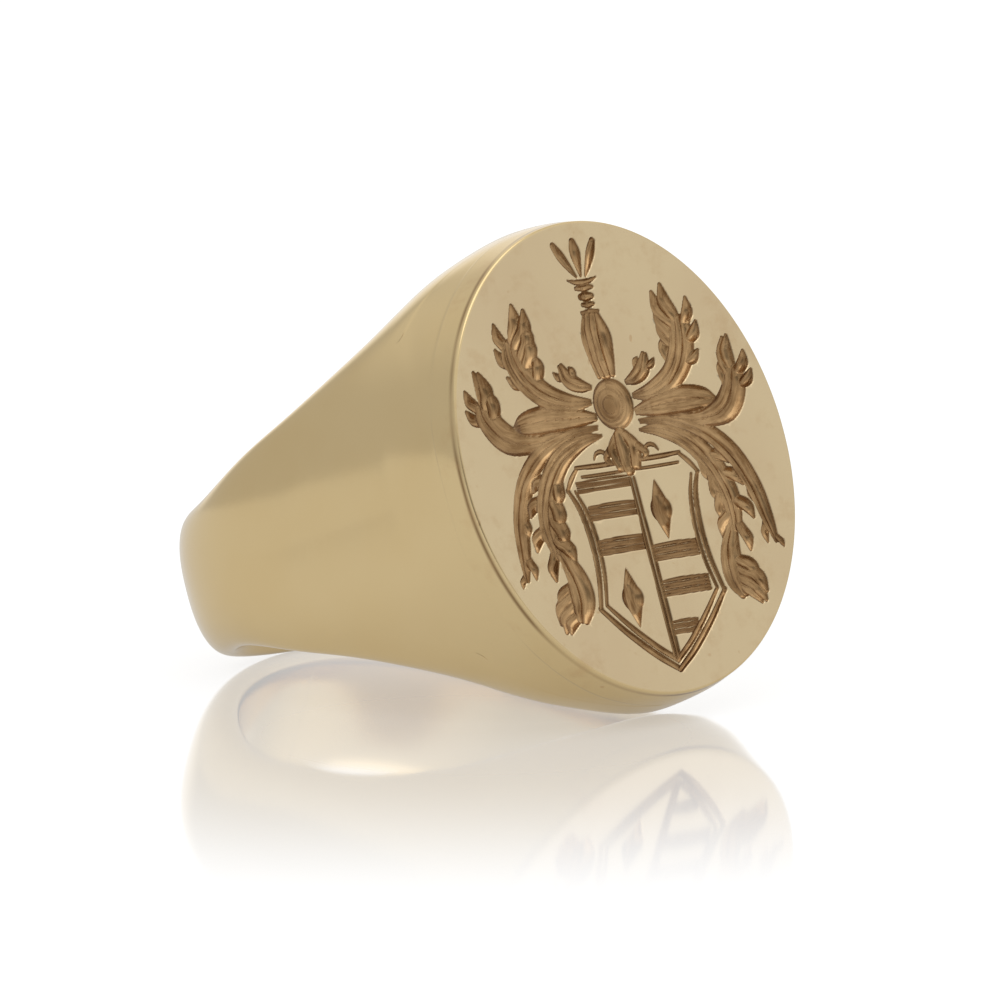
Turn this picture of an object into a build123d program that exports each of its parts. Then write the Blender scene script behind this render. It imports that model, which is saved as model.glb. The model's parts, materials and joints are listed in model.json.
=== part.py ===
from build123d import *
import os
from math import ceil, cos, degrees, pi, radians, sin, tan

# A heavy signet ring, lying as it rests on a table: on the end of its head and the edge of its shank.
# It is made in the ring's own frame and laid down last. In the ring's frame the finger's axis is Z,
# the seal face looks along -Y, and the finger's axis crosses X = Y = 0.
# In the row's frame Z is up from the table and the seal face is turned to -Y and a little upwards.

# ---- driving dimensions, in mm and degrees ----
BORE_RADIUS = 9.0
FACE_HALF_WIDTH = 8.95       # of the oval seal face, across the finger
FACE_HALF_HEIGHT = 9.9       # of the oval seal face, along the finger
FACE_DISTANCE = 12.1         # from the finger's axis to the seal face
HEAD_FLARE = 12.0            # how far the head's wall leans out, away from the face
HEAD_WALL_END = 13.0         # the head's wall is drawn to this far behind the finger's axis
PLATE_THICKNESS = 1.2
PLATE_SOLDER = 0.06
SHANK_SOLDER = 0.10
REST_TILT = 21.01            # the finger's axis leans back this far when head and shank both touch

# The band round the finger: angle from the middle of the head, half its width along the finger.
BAND_WIDTHS = [(0, 10.3), (25, 9.2), (50, 6.85), (80, 4.65), (115, 3.05), (150, 2.95), (180, 2.92)]
# Angle from the middle of the head, distance of the outside from the finger's axis. The sides run
# nearly straight from the face's edge, at about 36 degrees, to the round shank at about 80.
BAND_RADII = [(0, 17.5), (20, 17.5), (30, 17.0), (36.5, 15.07), (43, 13.72), (50, 12.72), (57, 11.97),
              (65, 11.38), (75, 10.9), (90, 10.72), (135, 10.7), (180, 10.45)]
SQUARENESS_HEAD = 4.9        # exponent of the rounded band section: 2 is an ellipse
SQUARENESS_SHANK = 2.45
EDGE_ROLL_HEAD = 1.4         # how far outside the bore the section is widest
EDGE_ROLL_SHANK = 0.42
HEAD_SPAN = 75.0             # the section changes from head to shank within this angle
INNER_MARGIN = 0.5           # the raw section reaches this far into the bore
SECTION_POINTS = 40
SECTION_STEP = 7.5           # degrees between sections of the band
BLOCK = 60.0                 # side of a cutting block, more than the whole ring

# ---- the engraving, on the seal face: x across the finger, y along it, from the face's middle ----
ENGRAVING_DEPTH = 0.35
BORDER_WIDTH = 0.38
# Blades of the mantling, cut alike on both sides: start, middle, end and half width.
BLADES = [
    ((1.2, 2.3), (4.3, 3.9), (4.1, 6.4), 0.75),
    ((0.9, 3.0), (1.9, 3.3), (2.6, 4.0), 0.30),
    ((1.1, 1.6), (3.6, 1.8), (6.0, 1.3), 0.42),
    ((5.6, 1.3), (6.9, 2.2), (7.2, 3.8), 0.50),
    ((0.9, 0.9), (4.0, 0.3), (5.9, -1.1), 0.30),
    ((5.0, 0.6), (6.8, -1.6), (6.9, -4.8), 0.35),
    ((4.2, 0.0), (5.3, -2.2), (4.7, -4.5), 0.70),
    ((4.5, -4.6), (5.3, -5.3), (6.2, -5.5), 0.45),
    ((4.6, -4.7), (4.9, -5.6), (4.8, -6.5), 0.45),
]
# Plumes of the crest: foot, middle, tip and half width.
PLUMES = [
    ((-0.3, 7.6), (-0.75, 8.4), (-1.2, 9.1), 0.18),
    ((0.0, 7.6), (0.0, 8.4), (0.0, 9.2), 0.22),
    ((0.3, 7.6), (0.65, 8.4), (1.1, 9.1), 0.18),
]
COLUMN = [(-0.6, 3.5), (-0.8, 5.2), (-0.5, 6.3), (-0.4, 7.1), (-0.8, 7.5),
          (0.8, 7.5), (0.4, 7.1), (0.4, 6.3), (0.7, 5.2), (0.5, 3.5)]
HELM_CENTRE = (0.0, 2.2)
HELM_RADIUS = 1.1
GORGET = [(-1.9, 0.2), (0.0, 1.0), (1.8, 0.2), (0.0, -0.9)]
SHIELD_TOP = -0.15
SHIELD_SHOULDER = (3.7, -1.05)
SHIELD_WAIST = (3.05, -3.2)
SHIELD_HIP = (3.5, -6.05)
SHIELD_TIP = -9.0
SHIELD_TOP_HALF = 2.9
# Bars across two quarters: which side of the upright, height of the middle and half height.
BARS = [(-1, -2.05, 0.28), (-1, -3.55, 0.32), (1, -4.1, 0.34), (1, -5.6, 0.34), (1, -7.3, 0.30)]
# Plain lozenge in each of the other two quarters: its middle.
LOZENGES = [(1.15, -2.35), (-1.6, -5.75)]
LOZENGE_HALF_WIDTH = 0.6
LOZENGE_HALF_HEIGHT = 1.25


def smooth_value(stations, angle):
    """Value of a table at an angle: a cubic through the stations that never overshoots them."""
    gaps = [b[0] - a[0] for a, b in zip(stations, stations[1:])]
    rises = [(b[1] - a[1]) / gap for a, b, gap in zip(stations, stations[1:], gaps)]
    slopes = [0.0]
    for left, right in zip(rises, rises[1:]):
        same_way = left * right > 0
        slopes.append(2 * left * right / (left + right) if same_way else 0.0)
    slopes.append(0.0)
    index = max(i for i in range(len(gaps)) if angle >= stations[i][0])
    gap = gaps[index]
    t = (angle - stations[index][0]) / gap
    start, end = stations[index][1], stations[index + 1][1]
    bend = gap * (slopes[index] * t * (1 - t) ** 2 - slopes[index + 1] * t * t * (1 - t))
    return start + (end - start) * t * t * (3 - 2 * t) + bend


def signed_power(value, power):
    return abs(value) ** power * (1 if value >= 0 else -1)


# ---- the whole ring as one outline ----

def band_section(turn):
    """Closed, rounded section of the band in the half plane at an angle from the head's middle."""
    angle = abs(turn)
    half_width = smooth_value(BAND_WIDTHS, angle)
    outer = smooth_value(BAND_RADII, angle)
    near = max(0.0, 1 - angle / HEAD_SPAN)
    head_share = near * near * (3 - 2 * near)
    squareness = SQUARENESS_SHANK + (SQUARENESS_HEAD - SQUARENESS_SHANK) * head_share
    roll = EDGE_ROLL_SHANK + (EDGE_ROLL_HEAD - EDGE_ROLL_SHANK) * head_share
    centre = BORE_RADIUS + roll
    points = []
    for step in range(SECTION_POINTS):
        around = 2 * pi * step / SECTION_POINTS
        reach = outer - centre if cos(around) > 0 else roll + INNER_MARGIN
        radius = centre + reach * signed_power(cos(around), 2 / squareness)
        z = half_width * signed_power(sin(around), 2 / squareness)
        points.append((radius * sin(radians(turn)), -radius * cos(radians(turn)), z))
    return Wire([Edge.make_spline(points, periodic=True)])


def head_oval(y):
    """The oval outline of the head's wall on the plane at y."""
    grown = (y + FACE_DISTANCE) * tan(radians(HEAD_FLARE))
    plane = Plane(origin=(0, y, 0), x_dir=(0, 0, 1), z_dir=(0, -1, 0))
    return Wire([Edge.make_ellipse(FACE_HALF_HEIGHT + grown, FACE_HALF_WIDTH + grown, plane)])


def finger_bore():
    return Solid.make_cylinder(BORE_RADIUS, BLOCK, Plane(origin=(0, 0, -BLOCK / 2)))


def shank_joint_angle():
    """Angle from the head's middle to the edge of the solder at the back of the shank."""
    return 180 - degrees(SHANK_SOLDER / 2 / smooth_value(BAND_RADII, 180))


def finished_outline():
    """Body and plate as one solid: the band, open at the back, trimmed to the head's wall, and bored."""
    last = shank_joint_angle()
    half_count = ceil(last / SECTION_STEP)
    turns = [last * step / half_count for step in range(-half_count, half_count + 1)]
    band = Solid.make_loft([band_section(turn) for turn in turns])
    head = Solid.make_loft([head_oval(-FACE_DISTANCE), head_oval(HEAD_WALL_END)], ruled=True)
    return (band & head) - finger_bore()


def layer(front, back):
    """A block between two planes parallel to the seal face, at these distances from the finger's axis."""
    return Pos(0, -(front + back) / 2, 0) * Box(BLOCK, front - back, BLOCK)


# ---- the pieces ----

def ring_body(outline):
    """Shank, shoulders and head, forged in one and bent round; its flat table carries the seal plate."""
    table = FACE_DISTANCE - PLATE_THICKNESS - PLATE_SOLDER
    return outline - layer(BLOCK, table)


def plate_solder_seam(outline):
    """Film of solder between the head's table and the seal plate, filed flush with both."""
    back = FACE_DISTANCE - PLATE_THICKNESS - PLATE_SOLDER
    return outline & layer(back + PLATE_SOLDER, back)


def seal_plate(outline):
    """Oval table of the seal with the engraving cut into it."""
    blank = outline & layer(BLOCK, FACE_DISTANCE - PLATE_THICKNESS)
    face_plane = Plane(origin=(0, -FACE_DISTANCE, 0), x_dir=(1, 0, 0), z_dir=(0, -1, 0))
    cut = extrude(face_plane * engraving(), -ENGRAVING_DEPTH)
    return blank - cut


def shank_solder_seam():
    """Thin wedge of solder that closes the shank at its back."""
    last = shank_joint_angle()
    wedge = Solid.make_loft([band_section(last), band_section(-last)], ruled=True)
    return wedge - finger_bore()


# ---- the engraving ----

def blade(start, middle, end, half_width):
    """A pointed leaf between two arcs that bulge half_width to each side of its middle."""
    along = Vector(*end) - Vector(*start)
    across = Vector(-along.Y, along.X).normalized() * half_width
    centre = Vector(*middle)
    left = ThreePointArc(start, centre + across, end)
    right = ThreePointArc(end, centre - across, start)
    return make_face([left, right])


def shield_outline():
    """Shield with cut top corners, hollow sides and a pointed foot."""
    def side(sign):
        top = (sign * SHIELD_TOP_HALF, SHIELD_TOP)
        shoulder, waist, hip = [(sign * x, y) for x, y in (SHIELD_SHOULDER, SHIELD_WAIST, SHIELD_HIP)]
        return [Line(top, shoulder), ThreePointArc(shoulder, waist, hip), Line(hip, (0, SHIELD_TIP))]
    lid = Line((-SHIELD_TOP_HALF, SHIELD_TOP), (SHIELD_TOP_HALF, SHIELD_TOP))
    return make_face([lid] + side(1) + side(-1))


def shield_cuts():
    """Grooved border, upright, bars and lozenges of the shield."""
    field = shield_outline()
    inner = offset(field, -BORDER_WIDTH, kind=Kind.INTERSECTION)
    upright = Pos(0, (SHIELD_TOP + SHIELD_TIP) / 2) * Rectangle(BORDER_WIDTH, SHIELD_TOP - SHIELD_TIP)
    cuts = (field - inner) + (upright & field)
    for sign, height, half_height in BARS:
        bar = Pos(sign * SHIELD_TOP_HALF, height) * Rectangle(2 * SHIELD_TOP_HALF, 2 * half_height)
        cuts += bar & field
    for x, y in LOZENGES:
        cuts += make_face(Polyline((x, y + LOZENGE_HALF_HEIGHT), (x + LOZENGE_HALF_WIDTH, y),
                                   (x, y - LOZENGE_HALF_HEIGHT), (x - LOZENGE_HALF_WIDTH, y), close=True))
    return cuts


def engraving():
    """Sketch of all cuts: mantling, plumes, crest column, helm, gorget and shield."""
    cuts = shield_cuts()
    for start, middle, end, half_width in BLADES:
        one = blade(start, middle, end, half_width)
        cuts += one
        cuts += mirror(one, Plane.YZ)
    for plume in PLUMES:
        cuts += blade(*plume)
    cuts += make_face(Polyline(*COLUMN, close=True))
    cuts += Pos(*HELM_CENTRE) * Circle(HELM_RADIUS)
    cuts += make_face(Polyline(*GORGET, close=True))
    return cuts


# ---- laying the ring down and writing the pieces ----

def lay_down(pieces):
    """Lean the ring back by its resting tilt and set it on z = 0, centred over X = Y = 0."""
    leaned = {name: Rot(-REST_TILT, 0, 0) * piece for name, piece in pieces.items()}
    boxes = [piece.bounding_box() for piece in leaned.values()]
    floor = min(box.min.Z for box in boxes)
    middle_x = (min(box.min.X for box in boxes) + max(box.max.X for box in boxes)) / 2
    middle_y = (min(box.min.Y for box in boxes) + max(box.max.Y for box in boxes)) / 2
    return {name: Pos(-middle_x, -middle_y, -floor) * piece for name, piece in leaned.items()}


def main():
    os.makedirs("parts", exist_ok=True)
    outline = finished_outline()
    pieces = {
        "ring_body": ring_body(outline),
        "shank_solder_seam": shank_solder_seam(),
        "plate_solder_seam": plate_solder_seam(outline),
        "seal_plate": seal_plate(outline),
    }
    for name, piece in lay_down(pieces).items():
        export_step(piece, f"parts/{name}.step")


if __name__ == "__main__":
    main()
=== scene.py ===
import json
from math import cos, pi, radians, sin, tan

import bpy
import numpy as np
from bpy.props import FloatProperty, FloatVectorProperty, PointerProperty
from bpy.types import Operator, Panel, PropertyGroup
from mathutils import Matrix, Vector


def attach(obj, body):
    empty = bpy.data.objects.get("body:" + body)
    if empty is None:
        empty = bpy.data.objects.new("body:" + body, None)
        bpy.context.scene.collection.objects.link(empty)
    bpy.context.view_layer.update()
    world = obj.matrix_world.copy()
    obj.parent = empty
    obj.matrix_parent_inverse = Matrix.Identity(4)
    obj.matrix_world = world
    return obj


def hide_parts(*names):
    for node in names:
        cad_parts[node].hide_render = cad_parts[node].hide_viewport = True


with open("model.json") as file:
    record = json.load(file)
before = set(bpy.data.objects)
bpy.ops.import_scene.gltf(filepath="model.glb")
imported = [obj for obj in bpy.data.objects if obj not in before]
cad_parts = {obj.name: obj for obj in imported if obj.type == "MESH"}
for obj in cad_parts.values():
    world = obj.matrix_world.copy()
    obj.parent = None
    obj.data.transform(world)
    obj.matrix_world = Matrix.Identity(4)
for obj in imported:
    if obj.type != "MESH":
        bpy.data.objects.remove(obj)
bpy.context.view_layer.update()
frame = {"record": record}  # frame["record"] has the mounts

bl_info = {
    "name": "Signet Ring",
    "version": (1, 0, 0),
    "blender": (4, 5, 0),
    "location": "3D View > Sidebar > Signet Ring",
    "description": "Polished gold signet ring with an engraved seal face",
    "category": "Object",
}

# ---- the ring's own frame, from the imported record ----
# Shapes are worked out in millimetres along three directions through the middle of the finger hole:
# u out of the seal face, v across the finger and w along it.
MM = 0.001
MOUNTS = {mount["name"]: mount for mount in frame["record"]["mounts"]}
HOLE = MOUNTS["finger_bore"]
SEAL = MOUNTS["seal_face"]
MIDDLE = np.array(HOLE["pos_m"]) / MM
ALONG = np.array(HOLE["axis"])
FRONT = np.array(SEAL["axis"])
ACROSS = np.cross(ALONG, FRONT)
BORE_RADIUS = HOLE["dims"]["r_mm"]
FACE_LEVEL = float((np.array(SEAL["pos_m"]) / MM - MIDDLE) @ FRONT)

# ---- sizes that the CAD model has too, in mm and degrees ----
FACE_HALF_WIDTH = 8.95
FACE_HALF_HEIGHT = 9.9
HEAD_FLARE = 12.0
PLATE_THICKNESS = 1.2
SOLDER_FILM = 0.06
SHANK_SOLDER = 0.10
BAND_WIDTHS = [(0, 10.3), (25, 9.2), (50, 6.85), (80, 4.65), (115, 3.05), (150, 2.95), (180, 2.92)]
BAND_RADII = [(0, 17.5), (20, 17.5), (30, 17.0), (36.5, 15.07), (43, 13.72), (50, 12.72), (57, 11.97),
              (65, 11.38), (75, 10.9), (90, 10.72), (135, 10.7), (180, 10.44)]
SQUARENESS = (2.45, 4.9)  # of the band's section, at the shank and at the head
EDGE_ROLL = (0.42, 1.4)  # how far outside the bore the section is widest, shank and head
HEAD_SPAN = 75.0  # the section changes from head to shank within this angle
TABLE_STEP = 0.05  # of the smoothed tables, in degrees
WIDTH_SPREAD = 4.0  # spread of the bell curve that smooths the widths
RADIUS_SPREAD = 3.5  # and of the one that smooths the radii
BLEND_REACH = 8.5  # how far along the finger the shoulder's soft blend reaches
BLEND_DEPTH = 4.0  # how far under the face it reaches its full width
END_BLEND = 0.3  # share of it that is left at the ends of its reach
EDGE_BLEND = 0.2  # width of the blend at the face
INNER_MARGIN = 0.5  # the raw section reaches this far into the bore
TABLE_LEVEL = FACE_LEVEL - PLATE_THICKNESS - SOLDER_FILM
PLATE_BACK = FACE_LEVEL - PLATE_THICKNESS
SEAM_ANGLE = pi - SHANK_SOLDER / 2 / BAND_RADII[-1][1]

# ---- mesh steps ----
MERGE_DISTANCE = 1e-9  # m
HALVINGS = 34  # of a ray's length, to find where it leaves the metal
RAY_LENGTH = 12.0  # mm, past any surface but short of the far side of the ring
BODY_LENGTH_STEPS = 220  # from the head's table to the back of the shank, on each side
BODY_WIDTH_STEPS = 120  # across the outside
BODY_INNER_STEPS = 64  # from rim to rim through the bore
CREASE_PASSES = 6  # smoothing passes over the outside, for the crease under the head
HEAD_SHARE = 0.25  # part of the way back over which rays turn from the table's edge
FACE_STEPS = 408  # fine squares along each side of the face's grid
FACE_MERGE = 4  # fine squares along each side of a coarse one
FACE_EDGE = 0.09  # radius of the face's worn edge
EDGE_ROWS = 4  # of faces over the rounded edge
WALL_ROWS = 8  # of faces down the plate's wall
EDGE_SHADE_ROWS = 1  # rows of the wall, from the rounded edge down, that hold a painted dark line of shade
OUTLINE_SAMPLES = 720  # points round the head's outline
LENGTH_SQUEEZE = 0.35  # how much closer the steps are at the head and the back
RIM_SQUEEZE = -0.45  # how much closer the steps through the bore are at the rims


# ---- outline of the ring, as arrays ----

def smooth_table(stations, angle):
    """Value of a table at each angle, from a cubic through the stations that never overshoots them.

    The slope at an inner station is the harmonic mean of the rises on both sides, or zero where
    they differ in sign. The value is the Hermite cubic between the stations on each side.
    """
    x, y = np.array(stations, float).T
    gap = np.diff(x)
    rise = np.diff(y) / gap
    slope = np.zeros(len(x))
    left, right = rise[:-1], rise[1:]
    same_way = left * right > 0
    slope[1:-1] = np.where(same_way, 2 * left * right / np.where(same_way, left + right, 1), 0)
    i = np.clip(np.searchsorted(x, angle, side="right") - 1, 0, len(gap) - 1)
    t = (angle - x[i]) / gap[i]
    bend = gap[i] * (slope[i] * t * (1 - t) ** 2 - slope[i + 1] * t * t * (1 - t))
    return y[i] + (y[i + 1] - y[i]) * t * t * (3 - 2 * t) + bend


def soft_table(stations, spread):
    """The smooth table at fine steps from 0 to 180 degrees, averaged with a bell curve this wide.

    Past both ends it's mirrored, so the outline has no kink at the head's middle or the back.
    """
    angle = np.arange(-180.0, 360.0, TABLE_STEP)
    values = smooth_table(stations, 180 - np.abs(180 - np.abs(angle)))
    reach = np.arange(-4 * spread, 4 * spread + TABLE_STEP / 2, TABLE_STEP)
    bell = np.exp(-(reach / spread) ** 2 / 2)
    soft = np.convolve(values, bell / bell.sum(), mode="same")
    kept = (angle > -TABLE_STEP / 2) & (angle < 180 + TABLE_STEP)
    return angle[kept], soft[kept]


def smooth_larger(a, b, width):
    """The larger of a and b, rounded over a strip of this width where they are nearly equal."""
    near = np.clip(width - np.abs(a - b), 0, None)
    return np.maximum(a, b) + near * near / (4 * width)


def band_width(angle):
    """Half width of the band at angles in radians from the head's middle."""
    return np.interp(np.degrees(np.abs(angle)), *WIDTH_TABLE)


def band_radius(angle):
    """Outer radius of the band at angles in radians from the head's middle."""
    return np.interp(np.degrees(np.abs(angle)), *RADIUS_TABLE)


def band_distance(u, v, w):
    """Rough distance outside the band: the section is a superellipse at each angle round the finger.

    Its size is the root of the summed powers of the shares of its reach and of its half width. The
    distance is how far the point lies past size 1, along the line from the section's centre.
    """
    radius = np.hypot(u, v)
    angle = np.arctan2(np.abs(v), u)
    half_width = band_width(angle)
    outer = band_radius(angle)
    near = np.clip(1 - np.degrees(angle) / HEAD_SPAN, 0, 1)
    head = near * near * (3 - 2 * near)
    power = SQUARENESS[0] + (SQUARENESS[1] - SQUARENESS[0]) * head
    roll = EDGE_ROLL[0] + (EDGE_ROLL[1] - EDGE_ROLL[0]) * head
    centre = BORE_RADIUS + roll
    reach = np.where(radius > centre, outer - centre, roll + INNER_MARGIN)
    size = (np.abs((radius - centre) / reach) ** power + np.abs(w / half_width) ** power) ** (1 / power)
    size = np.maximum(size, 0.001)
    return (size - 1) / size * np.maximum(np.hypot(radius - centre, w), 0.001)


def wall_distance(u, v, w):
    """Rough distance outside the head's wall: an oval cone that grows away from the face."""
    grown = (FACE_LEVEL - u) * tan(radians(HEAD_FLARE))
    size = np.hypot(v / (FACE_HALF_WIDTH + grown), w / (FACE_HALF_HEIGHT + grown))
    size = np.maximum(size, 0.001)
    return (size - 1) / size * np.maximum(np.hypot(v, w), 0.01) * cos(radians(HEAD_FLARE))


def ring_distance(u, v, w, shape):
    """Rough distance outside the whole ring, with softly blended shoulders and rounded bore edges."""
    depth = np.clip((FACE_LEVEL - u) / BLEND_DEPTH, 0, 1)
    middle = np.clip(1 - np.abs(w) / BLEND_REACH, 0, 1)
    blend = EDGE_BLEND + shape.shoulder_blend / MM * depth * (END_BLEND + (1 - END_BLEND) * middle)
    solid = smooth_larger(band_distance(u, v, w), wall_distance(u, v, w), blend)
    bore = BORE_RADIUS - np.hypot(u, v)
    return smooth_larger(solid, bore, shape.bore_rounding / MM)


WIDTH_TABLE = soft_table(BAND_WIDTHS, WIDTH_SPREAD)
RADIUS_TABLE = soft_table(BAND_RADII, RADIUS_SPREAD)


def last_inside(inside, start, end):
    """Per element, the end of the stretch from start that is inside, found by halving."""
    low = np.broadcast_to(start, end.shape).copy()
    high = end.copy()
    for _ in range(HALVINGS):
        middle = (low + high) / 2
        hit = inside(middle)
        low = np.where(hit, middle, low)
        high = np.where(hit, high, middle)
    return low


def metal(angle):
    """Middle and half thickness of the metal at angles round the finger, cut off at the table."""
    outer = np.minimum(band_radius(angle), TABLE_LEVEL / np.maximum(np.cos(angle), 0.01))
    return (BORE_RADIUS + outer) / 2, (outer - BORE_RADIUS) / 2


def section_surface(angle, outward, along, shape):
    """Points where rays in half planes through the finger's axis leave the ring's body.

    A ray starts at the middle of the metal at that angle and goes in the direction outward, along.
    """
    centre = metal(angle)[0]
    length = np.hypot(outward, along)
    outward, along = outward / length, along / length

    def place(reach):
        radius = centre + reach * outward
        return radius * np.cos(angle), radius * np.sin(angle), reach * along

    def inside(reach):
        u, v, w = place(reach)
        return (ring_distance(u, v, w, shape) < 0) & (u < TABLE_LEVEL)

    reach = last_inside(inside, 0.0, np.full(np.broadcast(angle, outward).shape, RAY_LENGTH))
    return np.stack(place(reach), -1)


def head_outline(level, around, shape):
    """Points of the head's outline on planes parallel to the face, at angles round the face: the
    oval's point is moved out or in until it's on the ring's surface."""
    v_way, w_way = FACE_HALF_WIDTH * np.cos(around), FACE_HALF_HEIGHT * np.sin(around)

    def inside(reach):
        return ring_distance(level, reach * v_way, reach * w_way, shape) < 0

    reach = last_inside(inside, 0.5, np.full(np.broadcast(level, around).shape, 1.5))
    return np.stack(np.broadcast_arrays(level, reach * v_way, reach * w_way), -1)


# ---- meshes and objects ----

def to_row(points):
    """Millimetres in the ring's frame to metres in the row's frame."""
    return (MIDDLE + points[:, :1] * FRONT + points[:, 1:2] * ACROSS + points[:, 2:3] * ALONG) * MM


def grid_faces(index, flip=False):
    """Quads between the neighbours of a 2-D array of vertex numbers."""
    quads = np.stack([index[:-1, :-1], index[1:, :-1], index[1:, 1:], index[:-1, 1:]], -1).reshape(-1, 4)
    return quads[:, ::-1] if flip else quads


def split_quads(points, quads):
    """Two triangles per quad, cut along the diagonal that leaves them closer to one plane."""
    first, second, third, fourth = (points[quads[:, k]] for k in range(4))

    def agreement(a, b, c, d):
        one, other = np.cross(b - a, c - a), np.cross(c - a, d - a)
        lengths = np.linalg.norm(one, axis=1) * np.linalg.norm(other, axis=1)
        return (one * other).sum(1) / np.maximum(lengths, 1e-12)

    turned = agreement(second, third, fourth, first) > agreement(first, second, third, fourth)
    quads = np.where(turned[:, None], np.roll(quads, -1, axis=1), quads)
    return np.concatenate([quads[:, [0, 1, 2]], quads[:, [0, 2, 3]]])


def fan_faces(loop, hub, flip=False):
    """Triangles from a closed loop of vertex numbers to one hub."""
    triangles = np.stack([loop, np.roll(loop, -1), np.full(len(loop), hub)], -1)
    return triangles[:, ::-1] if flip else triangles


def whole(faces):
    """Corner numbers and sizes of an array of faces, without the ones that have shrunk to a line."""
    faces = faces[np.all(faces != np.roll(faces, -1, axis=1), axis=1)]
    return faces.ravel(), np.full(len(faces), faces.shape[1])


def make_piece(name, points, faces, material, replaced, sharp=40.0, polygons=None, attributes=None):
    """A mesh object from numpy arrays, merged at its seams, riding on the root in place of a CAD node.

    faces is a list of arrays of quads or triangles. polygons is the corners and sizes of mixed ones.
    """
    points = to_row(points)
    keys = np.round(points / MERGE_DISTANCE).astype(np.int64)
    _, first, inverse = np.unique(keys, axis=0, return_index=True, return_inverse=True)
    inverse = inverse.reshape(-1)
    parts = [whole(inverse[block]) for block in faces]
    if polygons:
        parts.append((inverse[polygons[0]], polygons[1]))
    loops = np.concatenate([part[0] for part in parts])
    sizes = np.concatenate([part[1] for part in parts])
    used, loops = np.unique(loops, return_inverse=True)
    kept = first[used]
    mesh = bpy.data.meshes.new(name)
    mesh.vertices.add(len(kept))
    mesh.vertices.foreach_set("co", points[kept].ravel())
    mesh.loops.add(len(loops))
    mesh.loops.foreach_set("vertex_index", loops.ravel().astype(np.int32))
    mesh.polygons.add(len(sizes))
    mesh.polygons.foreach_set("loop_start", (np.cumsum(sizes) - sizes).astype(np.int32))
    mesh.update(calc_edges=True)
    if mesh.validate():
        raise RuntimeError(f"{name} has faces that aren't valid")
    mesh.shade_smooth()
    mesh.set_sharp_from_angle(angle=radians(sharp))
    for label, values in (attributes or {}).items():
        layer = mesh.attributes.new(label, "FLOAT", "POINT")
        layer.data.foreach_set("value", values[kept].astype(np.float32))
    mesh.materials.append(material)
    piece = bpy.data.objects.new(name, mesh)
    bpy.context.scene.collection.objects.link(piece)
    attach(piece, "root")
    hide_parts(replaced)


# ---- body of the ring ----

def blended_steps(count, centre, squeeze):
    """Steps from 0 to 1, closer together or wider apart round the value centre: a sine is added."""
    t = np.linspace(0, 1, count + 1)
    wave = np.sin(2 * pi * (t - centre) + pi) - np.sin(pi - 2 * pi * centre)
    return t + squeeze * wave / (2 * pi)


def rim_direction(angle, table_edge):
    """Direction, from the middle of the metal, of the line between the outside and the inside.

    It starts at the end of the head's table and turns to straight along the finger.
    """
    share = np.clip(np.abs(angle) / (HEAD_SHARE * SEAM_ANGLE), 0, 1)
    share = share * share * (3 - 2 * share)
    middle = (BORE_RADIUS + TABLE_LEVEL) / 2
    width = band_width(angle)
    outward = (TABLE_LEVEL - middle) * (1 - share)
    along = table_edge * (1 - share) + width * share
    return outward, along


def relaxed(points, passes):
    """The grid, evened out: in each pass an inner point moves half way to the mean of its four
    neighbours. The grid's own edges stay where they are."""
    for _ in range(passes):
        mean = (points[:-2, 1:-1] + points[2:, 1:-1] + points[1:-1, :-2] + points[1:-1, 2:]) / 4
        points[1:-1, 1:-1] += (mean - points[1:-1, 1:-1]) / 2
    return points


def outer_half(side, shape):
    """Outside of the body on one side, from the table's edge to the back of the shank.

    The two parameters are the share of the way from the head to the back, and the angle over the
    width. Every line over the width starts on the table's edge and swings round the finger.
    """
    way = blended_steps(BODY_LENGTH_STEPS, 0.0, LENGTH_SQUEEZE)[:, None]
    over = np.linspace(-pi / 2, pi / 2, BODY_WIDTH_STEPS + 1)[None, :]
    edge = head_outline(TABLE_LEVEL, over, shape)[0]
    edge_angle = np.arctan2(edge[:, 1], TABLE_LEVEL)[None, :]
    edge_angle[:, [0, -1]] = 0.0
    edge_radius = np.hypot(edge[:, 1], TABLE_LEVEL)[None, :]
    edge_centre = metal(edge_angle)[0]
    angle = edge_angle + (SEAM_ANGLE - edge_angle) * way
    share = np.clip(way / HEAD_SHARE, 0, 1)
    share = share * share * (3 - 2 * share)
    half_metal = metal(angle)[1]
    width = band_width(angle)
    outward = (edge_radius - edge_centre) * (1 - share) + half_metal * np.cos(over) * share
    along = edge[:, 2][None, :] * (1 - share) + width * np.sin(over) * share
    points = section_surface(side * angle, outward, along, shape)
    points[0] = edge * [1, side, 1]
    return relaxed(points, CREASE_PASSES)


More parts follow.
